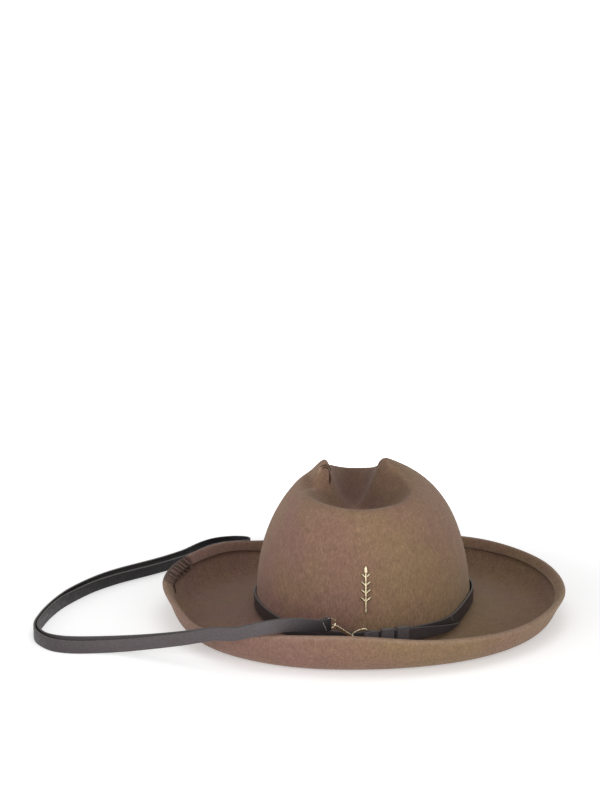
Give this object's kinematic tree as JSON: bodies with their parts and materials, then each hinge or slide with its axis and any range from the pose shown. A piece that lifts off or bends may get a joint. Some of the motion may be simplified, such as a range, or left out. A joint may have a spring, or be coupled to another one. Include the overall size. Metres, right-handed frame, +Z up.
{
  "type": "felt hat",
  "caption": "Felt hat with a creased crown, an upturned rolled brim, a slim leather band with a belt-like closure, and a long flat leather strap hooked to the band by brass rings.",
  "frame": {"origin": "centre of the hat's box, without the strap and its hook and ring, at the height of the brim's underside", "axes": "+Z up through the crown; the hat's longer way, front to back, is along Y, and -Y is the side with the band's closure; +X is to the right seen from that side"},
  "size_m": [0.4228, 0.391, 0.1281],
  "materials": {
    "felt": "matt wool felt, taupe brown, lightly fuzzy",
    "band_leather": "dark brown leather, satin",
    "strap_leather": "dark brown leather, satin, lighter at its cut edges",
    "brass": "polished, slightly worn"
  },
  "bodies": {
    "root": {"felt_body": "felt", "hat_band": "band_leather", "band_tab": "band_leather", "keeper_1": "band_leather", "keeper_2": "band_leather", "band_ring": "brass", "strap_ring": "brass", "hook": "brass", "strap": "strap_leather", "crown_pin": "brass"}
  },
  "joints": []
}
